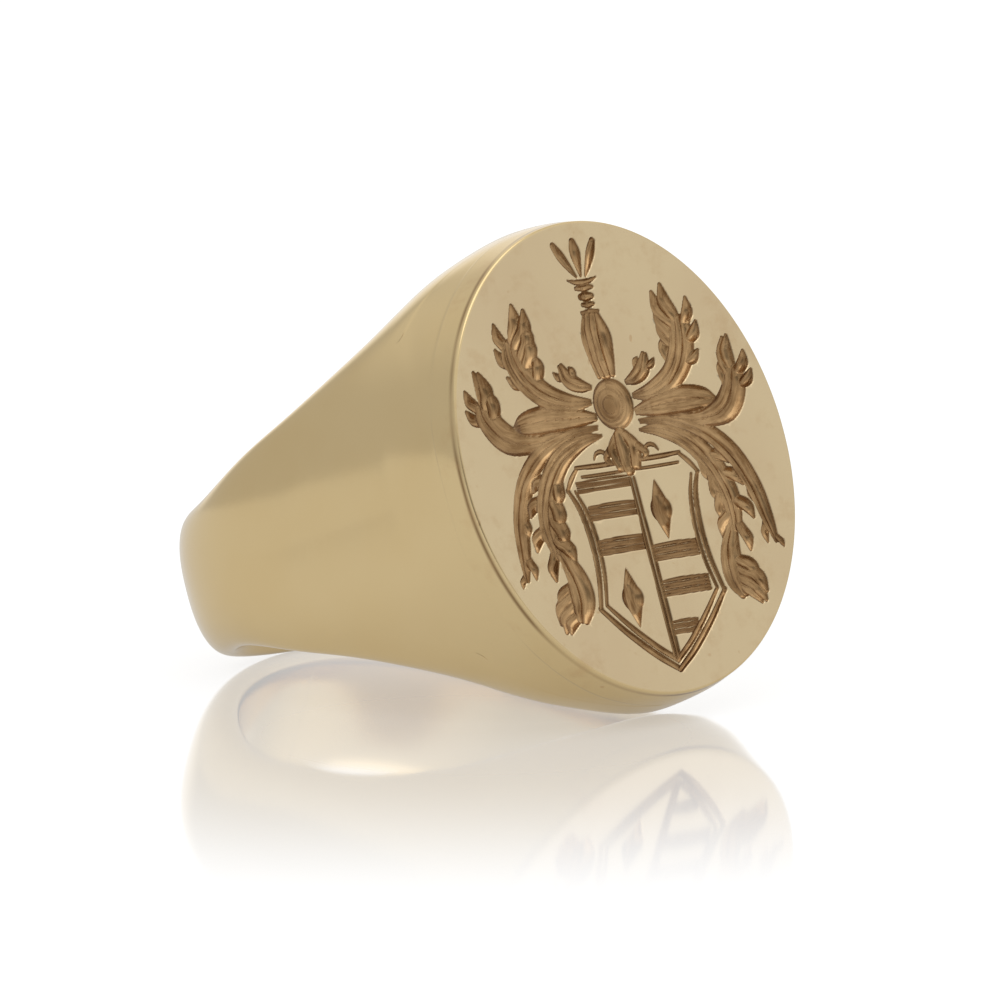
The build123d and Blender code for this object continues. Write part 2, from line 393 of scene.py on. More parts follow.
def inner_side(shape):
    """Rims and bore of the body, from one side of the solder joint round to the other.

    The two parameters are the angle round the finger and the way from the upper rim, through the
    rounded edges and the bore, to the lower rim.
    """
    way = blended_steps(BODY_LENGTH_STEPS, 0.0, LENGTH_SQUEEZE) * SEAM_ANGLE
    angle = np.concatenate([-way[:0:-1], way])[:, None]
    edge = head_outline(TABLE_LEVEL, np.array([pi / 2]), shape)[0, 2]
    half_metal = metal(angle)[1]
    rim_outward, rim_along = rim_direction(angle, edge)
    start = np.arctan2(rim_outward / half_metal, rim_along / edge)
    turn = blended_steps(BODY_INNER_STEPS, 0.5, RIM_SQUEEZE)[None, :]
    swing = -pi / 2 * np.ones_like(turn)
    bow = (pi / 2 + start) * (1 - 2 * turn)
    outward = half_metal * np.sin(swing + np.abs(bow))
    along = edge * np.cos(swing + np.abs(bow)) * np.sign(bow)
    for column, sign in ((0, 1), (-1, -1)):
        outward[:, column] = rim_outward[:, 0]
        along[:, column] = sign * rim_along[:, 0]
    middle = BODY_INNER_STEPS // 2
    along[:, middle] = 0.0
    outward[:, middle] = -1.0
    points = section_surface(angle, outward, along, shape)
    points[BODY_LENGTH_STEPS, 0] = [TABLE_LEVEL, 0, edge]
    points[BODY_LENGTH_STEPS, -1] = [TABLE_LEVEL, 0, -edge]
    return points


def body_mesh(shape):
    """All points and faces of the ring's body: two outer halves, the inside, the table and both ends."""
    right = outer_half(1, shape)
    left = outer_half(-1, shape)
    inner = inner_side(shape)
    half = BODY_LENGTH_STEPS
    inner[half:, 0], inner[half:, -1] = right[:, -1], right[:, 0]
    inner[half::-1, 0], inner[half::-1, -1] = left[:, -1], left[:, 0]
    left[0, [0, -1]] = right[0, [0, -1]]
    grids = [right, left, inner]
    starts = np.cumsum([0] + [grid.shape[0] * grid.shape[1] for grid in grids])
    numbers = [start + np.arange(grid.shape[0] * grid.shape[1]).reshape(grid.shape[:2])
               for start, grid in zip(starts, grids)]
    quads = [grid_faces(numbers[0]), grid_faces(numbers[1], flip=True), grid_faces(numbers[2])]
    table_loop = np.concatenate([numbers[0][0], numbers[1][0, -2:0:-1]])
    hub = starts[-1]
    points = [grid.reshape(-1, 3) for grid in grids] + [np.array([[TABLE_LEVEL, 0.0, 0.0]])]
    triangles = [fan_faces(table_loop, hub)]
    for outer, column, flip in ((numbers[0], -1, True), (numbers[1], 0, False)):
        end_loop = np.concatenate([outer[-1], numbers[2][column, 1:-1]])
        end_points = np.concatenate(points)[end_loop]
        points.append(end_points.mean(0, keepdims=True))
        hub += 1
        triangles.append(fan_faces(end_loop, hub, flip))
    points = np.concatenate(points)
    return points, [split_quads(points, block) for block in quads] + triangles


class RING_OT_body(Operator):
    """Shank, shoulders and head in one, with a flat table for the seal plate"""
    bl_idname = "ring.body"
    bl_label = "Ring Body"

    def execute(self, context):
        settings = context.scene.ring_settings
        points, faces = body_mesh(settings.shape)
        make_piece("gold_ring_body", points, faces, polished_gold("body_gold", settings.gold),
                   "ring_body")
        return {"FINISHED"}


# ---- engraving: generic arms of leaves, a boss, plumes and a plain shield, in mm on the face ----

CUT_DEPTH = 0.34  # deepest cut
CUT_STEEPNESS = 1.1  # depth of a cut per half width, until it is that deep
CUT_POWER = 2.6  # how flat a cut's floor is
BOWL_POWER = 0.6  # how flat the boss's floor is
BOWL_SHARE = 0.85  # depth of the boss, as a share of the deepest cut
STROKE_GAP = 3.7  # keeps the graver lines of one stroke apart from the next one's
CURVE_SAMPLES = 26  # points along a stroke
STRAND_SHARE = 0.52  # half width of one strand, as a share of its leaf's half width

# A leaf: its spine as (x, y, half width), how many strands run along it, and its lobes as
# (share of the way along, side, length, half width, lean in degrees). Leaves are on the right
# of the face and are mirrored to the left. Side 1 is to the left of the way the spine runs.
LEAVES = [
    # upper scroll
    ([(1.2, 2.42, 0.12), (2.4, 2.5, 0.36), (3.5, 2.95, 0.46), (4.3, 3.7, 0.52), (4.7, 4.6, 0.5),
      (4.75, 5.3, 0.36)],
     3, [(0.50, 1, 1.30, 0.30, 62), (0.62, 1, 1.65, 0.35, 58), (0.74, 1, 1.85, 0.37, 52),
         (0.86, 1, 1.85, 0.37, 42), (0.97, 1, 1.60, 0.36, 20), (0.56, -1, 1.10, 0.25, 30),
         (0.71, -1, 1.20, 0.29, 28), (0.88, -1, 1.25, 0.30, 22)]),
    # upper sprig
    ([(1.0, 3.02, 0.1), (1.6, 3.18, 0.24), (2.1, 3.5, 0.28), (2.35, 4.05, 0.14)],
     2, [(0.45, 1, 0.65, 0.18, 55), (0.68, -1, 0.7, 0.18, 26)]),
    # side leaf, near part and far part
    ([(1.15, 1.78, 0.14), (2.4, 1.9, 0.36), (3.7, 1.98, 0.46), (4.9, 1.92, 0.38), (5.55, 1.8, 0.14)],
     2, []),
    ([(1.2, 1.3, 0.06), (3.0, 1.22, 0.16), (4.8, 1.1, 0.3), (6.1, 1.4, 0.48), (6.85, 2.2, 0.46),
      (7.05, 2.9, 0.26)],
     2, [(0.72, 1, 1.50, 0.32, 38), (0.84, 1, 1.75, 0.34, 26), (0.96, 1, 1.45, 0.32, 6),
         (0.79, -1, 1.15, 0.27, 32), (0.92, -1, 1.15, 0.29, 30)]),
    # lower mantling, outer strand and inner leaf
    ([(1.15, 1.42, 0.05), (2.9, 1.2, 0.18), (4.5, 0.62, 0.3), (5.75, -0.45, 0.34), (6.5, -1.9, 0.32),
      (6.8, -3.3, 0.26), (7.0, -4.4, 0.1)],
     2, [(0.84, -1, 1.0, 0.22, 28), (0.94, 1, 0.6, 0.16, 26), (0.66, -1, 0.9, 0.2, 24)]),
    ([(1.05, 1.0, 0.07), (2.3, 0.85, 0.28), (3.6, 0.25, 0.4), (4.6, -0.9, 0.46), (5.1, -2.3, 0.42),
      (5.0, -3.6, 0.26)],
     3, [(0.46, -1, 1.35, 0.30, 26), (0.60, -1, 1.45, 0.35, 32), (0.74, -1, 1.45, 0.36, 38),
         (0.88, -1, 1.30, 0.34, 40), (0.52, 1, 1.20, 0.26, 30), (0.66, 1, 1.25, 0.29, 36),
         (0.80, 1, 1.25, 0.31, 40), (0.95, 1, 1.20, 0.30, 28)]),
    # lower tail
    ([(4.9, -3.3, 0.16), (4.35, -4.5, 0.4), (4.25, -5.5, 0.46), (4.5, -6.3, 0.24)],
     2, [(0.38, 1, 1.50, 0.32, 70), (0.52, 1, 1.90, 0.36, 62), (0.66, 1, 1.75, 0.36, 48),
         (0.84, 1, 1.20, 0.32, 30)]),
]
# Single cuts, each as points (x, y, half width). All are mirrored too.
CUTS = [
    # plumes and their cup
    [(0.0, 9.05, 0.18), (0.03, 8.6, 0.27), (0.0, 8.1, 0.2), (0.0, 7.62, 0.08)],
    [(1.1, 8.98, 0.17), (0.85, 8.55, 0.24), (0.55, 8.05, 0.18), (0.25, 7.6, 0.07)],
    [(0.8, 7.5, 0.05), (0.4, 7.38, 0.12), (0.0, 7.34, 0.14)],
    [(0.45, 7.12, 0.1), (0.0, 7.1, 0.16)],
    [(0.32, 6.75, 0.14), (0.0, 6.75, 0.24)],
    [(0.3, 6.42, 0.1), (0.0, 6.38, 0.15)],
    # column
    [(0.46, 6.1, 0.09), (0.0, 6.12, 0.12)],
    [(0.14, 5.95, 0.2), (0.16, 5.1, 0.36), (0.14, 4.3, 0.34), (0.12, 3.45, 0.2)],
    [(0.36, 5.95, 0.14), (0.5, 5.1, 0.32), (0.46, 4.3, 0.28), (0.38, 3.45, 0.16)],
    # gorget under the boss
    [(0.0, 0.98, 0.3), (0.0, 0.3, 0.42), (0.0, -0.55, 0.28)],
    [(0.25, 0.9, 0.2), (0.6, 0.35, 0.3), (0.45, -0.35, 0.26)],
    [(0.8, 0.35, 0.2), (1.1, 0.05, 0.18), (0.9, -0.2, 0.1)],
    [(1.0, 0.2, 0.08), (1.3, 0.34, 0.11), (1.62, 0.3, 0.1), (1.8, 0.08, 0.06)],
    # shield's border
    [(0.0, -0.18, 0.1), (1.6, -0.2, 0.12), (2.9, -0.16, 0.1)],
    [(0.0, -0.56, 0.07), (1.6, -0.57, 0.09), (2.7, -0.55, 0.08)],
    [(2.85, -0.18, 0.1), (3.3, -0.6, 0.13), (3.66, -1.05, 0.1)],
    [(3.64, -1.0, 0.1), (3.24, -1.9, 0.15), (3.05, -3.2, 0.16), (3.12, -4.6, 0.15), (3.46, -6.05, 0.12)],
    [(3.25, -1.1, 0.08), (2.92, -2.0, 0.12), (2.74, -3.2, 0.13), (2.8, -4.6, 0.12), (3.1, -5.9, 0.1)],
    [(3.5, -6.0, 0.12), (2.4, -7.1, 0.16), (1.1, -8.2, 0.17), (0.0, -8.95, 0.14)],
    [(3.05, -5.95, 0.1), (2.1, -6.9, 0.14), (1.0, -7.85, 0.15), (0.0, -8.55, 0.14)],
    # shield's upright
    [(0.1, -0.9, 0.08), (0.12, -4.5, 0.12), (0.1, -8.4, 0.12)],
]
BOSS_CENTRE = (0.0, 2.2)
BOSS_RADIUS = 1.1
BOSS_RINGS = [(0.86, 0.16), (0.5, 0.16)]  # radius and half width
# Side, middle height and half height of a bar, and where it ends across the shield
BARS = [(-1, -0.98, 0.26, 3.1), (-1, -2.1, 0.32, 2.75), (-1, -3.55, 0.34, 2.6),
        (1, -4.1, 0.36, 2.6), (1, -5.6, 0.36, 2.75), (1, -7.25, 0.3, 1.6)]
BAR_LINES = 5  # graver strokes side by side in a bar
BAR_SWAY = 0.03  # how far their middles bow, in turn up and down
# Plain lozenge in each of the other two quarters: its middle
LOZENGES = [(1.15, -2.35), (-1.6, -5.75)]
LOZENGE_HALF_WIDTH = 0.6
LOZENGE_HALF_HEIGHT = 1.25
LOZENGE_POINT = 0.03  # half width at its ends


def curve(points):
    """Catmull-Rom curve through the points, with their widths: each stretch is the cubic whose
    slope at a point is half the step between its neighbours."""
    points = np.array(points, float)
    padded = np.concatenate([2 * points[:1] - points[1:2], points, 2 * points[-1:] - points[-2:-1]])
    t = np.linspace(0, len(points) - 1, CURVE_SAMPLES)
    i = np.minimum(t.astype(int), len(points) - 2)
    t = (t - i)[:, None]
    before, start, end, after = (padded[i + k] for k in range(4))
    cubic = 3 * start - before - 3 * end + after
    square = 2 * before - 5 * start + 4 * end - after
    return start + t * (end - before) / 2 + t * t * square / 2 + t * t * t * cubic / 2


def mirrored(stroke):
    """The stroke on the other side of the face, x turned to minus x."""
    return stroke * [-1, 1, 1]


def leaf_strokes(spine, strands, lobes):
    """Strands side by side along the spine, and curved lobes that leave it and bend on with it.

    The strands are the spine moved sideways by even shares of its half width. A lobe starts about a
    third of that width off the spine, goes out at its lean, is widest past its middle and bends back
    to the spine's own way at its tip. Its vein is a narrower stroke beside it that meets it there.
    """
    line = curve(spine)
    way = np.gradient(line[:, :2], axis=0)
    way /= np.hypot(way[:, :1], way[:, 1:])
    side = np.stack([-way[:, 1], way[:, 0]], 1)
    width = line[:, 2:]
    half = STRAND_SHARE * 2 / strands
    strokes = [np.hstack([line[:, :2] + side * width * offset, width * half * 1.7])
               for offset in np.linspace(-1 + half, 1 - half, strands)]
    for share, hand, length, lobe_width, lean in lobes:
        i = round(share * (CURVE_SAMPLES - 1))
        lean = radians(lean)
        out = way[i] * cos(lean) + side[i] * hand * sin(lean)
        foot = line[i, :2] + side[i] * hand * width[i] * 0.35
        middle = foot + out * length * 0.62 + side[i] * hand * length * 0.06
        tip = foot + out * length * 0.86 + way[i] * length * 0.2
        near = foot + out * length * 0.28
        strokes.append(curve([(*foot, lobe_width * 0.5), (*near, lobe_width * 0.85),
                              (*middle, lobe_width), (*tip, lobe_width * 0.34)]))
        vein = side[i] * hand * lobe_width * 0.62
        strokes.append(curve([(*(foot + vein), lobe_width * 0.3), (*(near + vein), lobe_width * 0.5),
                              (*(middle + vein * 0.9), lobe_width * 0.5), (*tip, lobe_width * 0.15)]))
    return strokes


def all_strokes():
    """Every stroke of the engraving, as arrays of x, y and half width."""
    strokes = []
    for spine, strands, lobes in LEAVES:
        leaf = leaf_strokes(spine, strands, lobes)
        strokes += leaf + [mirrored(stroke) for stroke in leaf]
    for cut in CUTS:
        stroke = curve(cut)
        strokes += [stroke, mirrored(stroke)]
    turn = np.linspace(0, 2 * pi, CURVE_SAMPLES)
    for radius, width in BOSS_RINGS:
        x, y = BOSS_CENTRE[0] + radius * np.sin(turn), BOSS_CENTRE[1] + radius * np.cos(turn)
        strokes.append(np.stack([x, y, np.full_like(turn, width)], 1))
    for side, middle, half, end in BARS:
        step = 2 * half / BAR_LINES
        for line in range(BAR_LINES):
            y = middle - half + step * (line + 0.5)
            sway = BAR_SWAY * (-1) ** line
            strokes.append(curve([(side * 0.15, y, step * 0.5), (side * end / 2, y + sway, step * 0.66),
                                  (side * end, y, step * 0.55)]))
    for x, y in LOZENGES:
        top, foot = y + LOZENGE_HALF_HEIGHT, y - LOZENGE_HALF_HEIGHT
        strokes.append(np.array([(x, top, LOZENGE_POINT), (x, y, LOZENGE_HALF_WIDTH),
                                 (x, foot, LOZENGE_POINT)]))
    return strokes


def carve(x, y):
    """Depth of the engraving, and place across and along the cut, at each point of the face.

    A stroke's depth is its full depth times one minus a power of the share of its half width at
    which the point lies. Where strokes meet the deeper one wins, so ridges stay between them. The
    boss is a shallow bowl under its rings: its depth is a power of one minus the squared share of
    its radius.
    """
    depth = np.zeros(x.shape)
    across = np.zeros(x.shape)
    along = np.zeros(x.shape)
    bowl = 1 - ((x - BOSS_CENTRE[0]) ** 2 + (y - BOSS_CENTRE[1]) ** 2) / BOSS_RADIUS ** 2
    bowl = CUT_DEPTH * BOWL_SHARE * np.clip(bowl, 0, 1) ** BOWL_POWER
    for number, stroke in enumerate(all_strokes()):
        low = (stroke[:, :2] - stroke[:, 2:]).min(0)
        high = (stroke[:, :2] + stroke[:, 2:]).max(0)
        near = np.nonzero((x > low[0]) & (x < high[0]) & (y > low[1]) & (y < high[1]))[0]
        start, step = stroke[:-1, :2], np.diff(stroke[:, :2], axis=0)
        length = np.hypot(step[:, 0], step[:, 1])
        from_start = np.stack([x[near], y[near]], 1)[:, None] - start
        share = np.clip((from_start * step).sum(2) / length ** 2, 0, 1)
        gap = from_start - share[..., None] * step
        width = stroke[:-1, 2] + share * np.diff(stroke[:, 2])
        ratio = np.hypot(gap[..., 0], gap[..., 1]) / np.maximum(width, 0.02)
        rows, best = np.arange(len(near)), ratio.argmin(1)
        ratio, width = ratio[rows, best], width[rows, best]
        fall = np.minimum(CUT_DEPTH, CUT_STEEPNESS * width) * np.clip(1 - ratio ** CUT_POWER, 0, 1)
        deeper = fall > depth[near]
        hand = np.sign((step[best, 0] * gap[rows, best, 1] - step[best, 1] * gap[rows, best, 0]))
        travelled = np.concatenate([[0], np.cumsum(length)])[best] + share[rows, best] * length[best]
        target = near[deeper]
        depth[target] = fall[deeper]
        across[target] = (hand * ratio * width)[deeper] + STROKE_GAP * number
        along[target] = travelled[deeper]
    return np.maximum(depth, bowl * (1 - 0.25 * depth / CUT_DEPTH)), across, along


# ---- seal plate and the two solder seams ----

def two_level_faces(index, fine):
    """Fine quads where wanted, and coarse polygons elsewhere that share every point on their edges.

    index holds the numbers of the fine grid's points, fine says which coarse squares stay fine.
    """
    count = FACE_MERGE
    pad = np.pad(fine, 1)
    fine_points = np.kron(fine, np.ones((count, count), bool))
    quads = np.stack([index[:-1, :-1], index[1:, :-1], index[1:, 1:], index[:-1, 1:]], -1)[fine_points]
    column, row = np.nonzero(~fine)
    steps = np.arange(count)
    first, last = np.zeros(count, int), np.full(count, count)
    columns = np.concatenate([steps, last, count - steps, first])
    rows = np.concatenate([first, steps, last, count - steps])
    corners = index[column[:, None] * count + columns, row[:, None] * count + rows]
    beside = [(0, -1), (1, 0), (0, 1), (-1, 0)]
    keep = np.concatenate([np.where(steps == 0, True, pad[column + 1 + x, row + 1 + y][:, None])
                           for x, y in beside], 1)
    return quads, (corners[keep], keep.sum(1))


def edge_loop(index):
    """Coarse points round the edge of the fine grid, in order."""
    step = FACE_MERGE
    return np.concatenate([index[:-1:step, 0], index[-1, :-1:step], index[:0:-step, -1], index[0, :0:-step]])


def plate_mesh(shape):
    """The seal plate: engraved face, worn edge, wall on the head's outline and flat back.

    A square grid is mapped to a disc, each half axis shortened by the root of one less half the
    other's square, and stretched to the outline. The worn edge is a quarter circle.
    """
    s = np.linspace(-1, 1, FACE_STEPS + 1)
    s, t = np.meshgrid(s, s, indexing="ij")
    disc_x, disc_y = s * np.sqrt(1 - t * t / 2), t * np.sqrt(1 - s * s / 2)
    around = np.linspace(-pi, pi, OUTLINE_SAMPLES + 1)
    outline = head_outline(FACE_LEVEL, around, shape)
    reach = np.hypot(outline[:, 1] / FACE_HALF_WIDTH, outline[:, 2] / FACE_HALF_HEIGHT)
    reach = np.interp(np.arctan2(disc_y, disc_x), around, reach)
    x = disc_x * (reach * FACE_HALF_WIDTH - FACE_EDGE)
    y = disc_y * (reach * FACE_HALF_HEIGHT - FACE_EDGE)
    depth, across, along = (part.reshape(x.shape) for part in carve(x.ravel(), y.ravel()))
    index = np.arange(x.size).reshape(x.shape)
    count = FACE_STEPS // FACE_MERGE
    cut = depth > 0
    blocks = cut[:-1, :-1].reshape(count, FACE_MERGE, count, FACE_MERGE).any((1, 3))
    blocks |= cut[1:, 1:].reshape(count, FACE_MERGE, count, FACE_MERGE).any((1, 3))
    quads, polygons = two_level_faces(index, blocks)
    face = np.stack([FACE_LEVEL - depth, x, y], -1).reshape(-1, 3)
    loop = edge_loop(index)
    rim_around = np.arctan2(disc_y.ravel()[loop], disc_x.ravel()[loop])
    turn = np.linspace(0, pi / 2, EDGE_ROWS + 1)[1:, None]
    edge_level = FACE_LEVEL - FACE_EDGE * (1 - np.cos(turn))
    levels = np.concatenate([edge_level[:, 0], np.linspace(edge_level[-1, 0], PLATE_BACK, WALL_ROWS + 1)[1:]])
    rim = head_outline(levels[:, None], rim_around[None, :], shape)
    inset = np.concatenate([FACE_EDGE * (1 - np.sin(turn[:, 0])), np.zeros(WALL_ROWS)])
    rim[..., 1:] *= (1 - inset[:, None] / np.hypot(rim[..., 1], rim[..., 2]))[..., None]
    numbers = np.vstack([loop, face.shape[0] + np.arange(rim.shape[0] * rim.shape[1]).reshape(rim.shape[:2])])
    numbers = np.hstack([numbers, numbers[:, :1]])
    hub = np.array([[PLATE_BACK, 0.0, 0.0]])
    points = np.concatenate([face, rim.reshape(-1, 3), hub])
    faces = [quads, grid_faces(numbers), fan_faces(numbers[-1, :-1], len(points) - 1, flip=True)]
    extra = len(points) - x.size
    layers = {"cut_depth": depth, "cut_across": across, "cut_along": along, "face_share": np.ones(x.size)}
    attributes = {name: np.concatenate([values.ravel(), np.zeros(extra)]) for name, values in layers.items()}
    # Painted shade: a dark line on the wall's top rows, just under the rounded edge of the face.
    line = np.zeros(len(levels))
    line[EDGE_ROWS:EDGE_ROWS + EDGE_SHADE_ROWS] = 1.0
    line = np.repeat(line, rim.shape[1])
    attributes["edge_line"] = np.concatenate([np.zeros(x.size), line, [0.0]])
    return points, faces, polygons, attributes


def capped_tube(rim, hubs):
    """Points and faces of rings of points joined to a tube, with a fan to a hub at each end."""
    numbers = np.arange(rim.shape[0] * rim.shape[1]).reshape(rim.shape[:2])
    closed = np.hstack([numbers, numbers[:, :1]])
    points = np.concatenate([rim.reshape(-1, 3), hubs])
    return points, [grid_faces(closed), fan_faces(numbers[0], len(points) - 2),
                    fan_faces(numbers[-1], len(points) - 1, flip=True)]


def plate_seam_mesh(shape):
    """Thin closed disc of solder under the seal plate, on the head's outline."""
    around = np.linspace(-pi, pi, OUTLINE_SAMPLES + 1)[:-1]
    levels = np.array([PLATE_BACK, TABLE_LEVEL])
    rim = head_outline(levels[:, None], around[None, :], shape)
    return capped_tube(rim, np.array([[PLATE_BACK, 0.0, 0.0], [TABLE_LEVEL, 0.0, 0.0]]))


def shank_seam_mesh(shape):
    """Thin closed slice of solder at the back of the shank, on the band's section."""
    around = np.linspace(-pi, pi, 2 * BODY_WIDTH_STEPS + 1)[:-1]
    angle = np.linspace(SEAM_ANGLE, 2 * pi - SEAM_ANGLE, 5)
    angle = np.where(angle > pi, angle - 2 * pi, angle)
    half_metal = (BAND_RADII[-1][1] - BORE_RADIUS) / 2
    rim = section_surface(angle[:, None], half_metal * np.cos(around)[None, :],
                          BAND_WIDTHS[-1][1] * np.sin(around)[None, :], shape)
    return capped_tube(rim, rim[[0, -1]].mean(1))


class RING_OT_plate(Operator):
    """Seal plate with its engraved face"""
    bl_idname = "ring.plate"
    bl_label = "Seal Plate"

    def execute(self, context):
        settings = context.scene.ring_settings
        points, faces, polygons, attributes = plate_mesh(settings.shape)
        make_piece("gold_seal_plate", points, faces, engraved_gold("plate_gold", settings.gold), "seal_plate",
                   sharp=62.0, polygons=polygons, attributes=attributes)
        return {"FINISHED"}


class RING_OT_seams(Operator):
    """Fine solder seams under the seal plate and at the back of the shank"""
    bl_idname = "ring.seams"
    bl_label = "Solder Seams"

    def execute(self, context):
        settings = context.scene.ring_settings
        solder = solder_gold("solder_gold", settings.gold)
        points, faces = plate_seam_mesh(settings.shape)
        make_piece("gold_plate_seam", points, faces, solder, "plate_solder_seam")
        points, faces = shank_seam_mesh(settings.shape)
        make_piece("gold_shank_seam", points, faces, solder, "shank_solder_seam")
        return {"FINISHED"}


# ---- shaders ----

class Socket:
    """A node's output in an expression: arithmetic on it adds Math nodes."""

    def __init__(self, shader, output):
        self.shader = shader
        self.output = output

    def math(self, operation, *others):
        return self.shader.node("ShaderNodeMath", {"operation": operation}, dict(enumerate((self,) + others)))

    def __add__(self, other):
        return self.math("ADD", other)

    __radd__ = __add__

    def __mul__(self, other):
        return self.math("MULTIPLY", other)

    __rmul__ = __mul__

    def __sub__(self, other):
        return self.math("SUBTRACT", other)

    def __rsub__(self, other):
        return self.shader.node("ShaderNodeMath", {"operation": "SUBTRACT"}, {0: other, 1: self})

    def clamped(self):
        """Kept from 0 to 1."""
        return self.shader.node("ShaderNodeClamp", {}, {0: self})


class Shader:
    """A material or world tree under construction."""

    def __init__(self, tree):
        self.tree = tree
        tree.nodes.clear()

    def node(self, kind, settings, values, output=0):
        """Add a node: first its settings, then its sockets' values or links. Returns one output."""
        made = self.tree.nodes.new(kind)
        for name, value in settings.items():
            setattr(made, name, value)
        for key, value in values.items():
            if isinstance(value, Socket):
                self.tree.links.new(value.output, made.inputs[key])
            else:
                made.inputs[key].default_value = value
        return Socket(self, made.outputs[output]) if made.outputs else None

    def blend(self, share, first, second):
        """Colour blend from first to second."""
        settings = {"data_type": "RGBA", "blend_type": "MIX"}
        return self.node("ShaderNodeMix", settings, {0: share, 6: first, 7: second}, output=2)

    def noise(self, vector, scale, detail, roughness):
        """Noise from 0 to 1."""
        values = {"Vector": vector, "Scale": scale, "Detail": detail, "Roughness": roughness}
        return self.node("ShaderNodeTexNoise", {}, values)

    def stretched(self, vector, factors):
        """The vector with each part multiplied by its own factor."""
        return self.node("ShaderNodeVectorMath", {"operation": "MULTIPLY"}, {0: vector, 1: factors})

    def ramp(self, value, low, high):
        """0 below low, 1 above high and a smooth rise between them."""
        values = {"Value": value, "From Min": low, "From Max": high}
        return self.node("ShaderNodeMapRange", {"interpolation_type": "SMOOTHSTEP"}, values)

    def bump(self, height, distance):
        """Normal over a height that stands for this distance in metres."""
        return self.node("ShaderNodeBump", {}, {"Height": height, "Distance": distance, "Strength": 1.0})

    def patches(self, place, look):
        """Patches of noise: 0 outside, 1 inside and a smooth rise between."""
        scale, detail, roughness, low, high = look
        return self.ramp(self.noise(place, scale, detail, roughness), low, high)

    def place(self):
        """Object coordinates."""
        return self.node("ShaderNodeTexCoord", {}, {}, output="Object")

    def layer(self, name):
        """One of the piece's own attributes."""
        return self.node("ShaderNodeAttribute", {"attribute_name": name}, {}, output="Fac")


def new_material(name):
    material = bpy.data.materials.new(name)
    material.use_nodes = True
    return material, Shader(material.node_tree)


def finish_metal(shader, colour, roughness, normal):
    values = {"Base Color": colour, "Metallic": 1.0, "Roughness": roughness.clamped(), "Normal": normal}
    surface = shader.node("ShaderNodeBsdfPrincipled", {}, values)
    shader.node("ShaderNodeOutputMaterial", {}, {"Surface": surface})


# Noise scales are per metre. A patch is its scale, detail, roughness, and where it starts and ends.
CLOUDS = (180.0, 3.0, 0.5)
CLOUD_EDGE = (0.3, 0.7)
RUB_SCALES = (900.0, 4200.0, 900.0)
RUBBING = (1.0, 2.0, 0.6)
GRAIN = (5200.0, 2.0, 0.6)
PITS = (1500.0, 1.0, 0.5, 0.74, 0.80)
STAINS = (620.0, 4.0, 0.65, 0.50, 0.75)
SMUDGES = (900.0, 3.0, 0.6, 0.35, 0.70)
DARK_PLACES = (380.0, 2.0, 0.5, 0.48, 0.72)
# Patches where the painted dark line of shade round the face's edge is stronger
EDGE_SHADE_PATCHES = (160.0, 2.0, 0.5, 0.38, 0.62)
LINES_ACROSS = 11.0  # graver lines per mm across a cut, about
LINES_ALONG = 0.9  # and changes per mm along it
LINES = (1.0, 3.0, 0.6)
CUT_START = (0.0, 0.05)  # mm of depth over which the patina starts
CUT_SIDE_SHADE = (0.02, 0.18)  # mm of depth over which a cut's side turns to its floor and its painted shade fades out
CLOUD_ROUGHNESS = 0.06
RUB_ROUGHNESS = 0.05
CUT_ROUGHNESS = 0.12
SOLDER_ROUGHNESS = 0.08
SOLDER_UNEVEN = 0.1
# How strongly each kind of mark colours the face and its cuts.
EDGE_SHADE_SHARE = 0.25  # of the painted dark line of shade round the face's edge, where it's faint
EDGE_SHADE_PATCH_SHARE = 0.6  # and what is added to it in patches
STAIN_SHARE = 0.3
PIT_SHARE = 0.5
LINE_EDGE = (0.2, 0.8)
SMUDGE_SHARE = 0.7
DARK_SHARE = 0.45
# of the painted shade on the cuts' steep sides
SIDE_SHADE_SHARE = 0.85
# Heights of the marks, as shares of the bump's distance.
POLISH_HEIGHTS = (0.6, 0.4)  # rubbing and grain
FACE_HEIGHTS = (0.3, 0.2)
PIT_HEIGHT = 3.0
LINE_HEIGHT = 5.0
POLISH_BUMP = 0.0000015  # m
FACE_BUMP = 0.0000025
SOLDER_BUMP = 0.000005


def opaque(colour):
    """The colour with full alpha."""
    return tuple(colour) + (1.0,)


def wear(shader, place):
    """Soft unevenness, fine rubbing marks and tiny grain of worn polished metal, each from 0 to 1."""
    cloud = shader.noise(place, *CLOUDS)
    rub = shader.noise(shader.stretched(place, RUB_SCALES), *RUBBING)
    grain = shader.noise(place, *GRAIN)
    return cloud, rub, grain


def clouded(shader, cloud, deeper, lighter):
    """Faint clouds of the lighter colour in the deeper one."""
    return shader.blend(shader.ramp(cloud, *CLOUD_EDGE), opaque(deeper), opaque(lighter))


def worn_roughness(gold, cloud, rub):
    """Roughness of the polish, a little uneven."""
    return gold.roughness + (cloud - 0.5) * CLOUD_ROUGHNESS + (rub - 0.5) * RUB_ROUGHNESS


def polished_gold(name, gold):
    """Worn polish: gold with faint warm and pale clouds, fine rubbing marks and very slight ripple."""
    material, shader = new_material(name)
    cloud, rub, grain = wear(shader, shader.place())
    colour = clouded(shader, cloud, gold.warm, gold.pale)
    height = rub * POLISH_HEIGHTS[0] + grain * POLISH_HEIGHTS[1]
    finish_metal(shader, colour, worn_roughness(gold, cloud, rub), shader.bump(height, POLISH_BUMP))
    return material


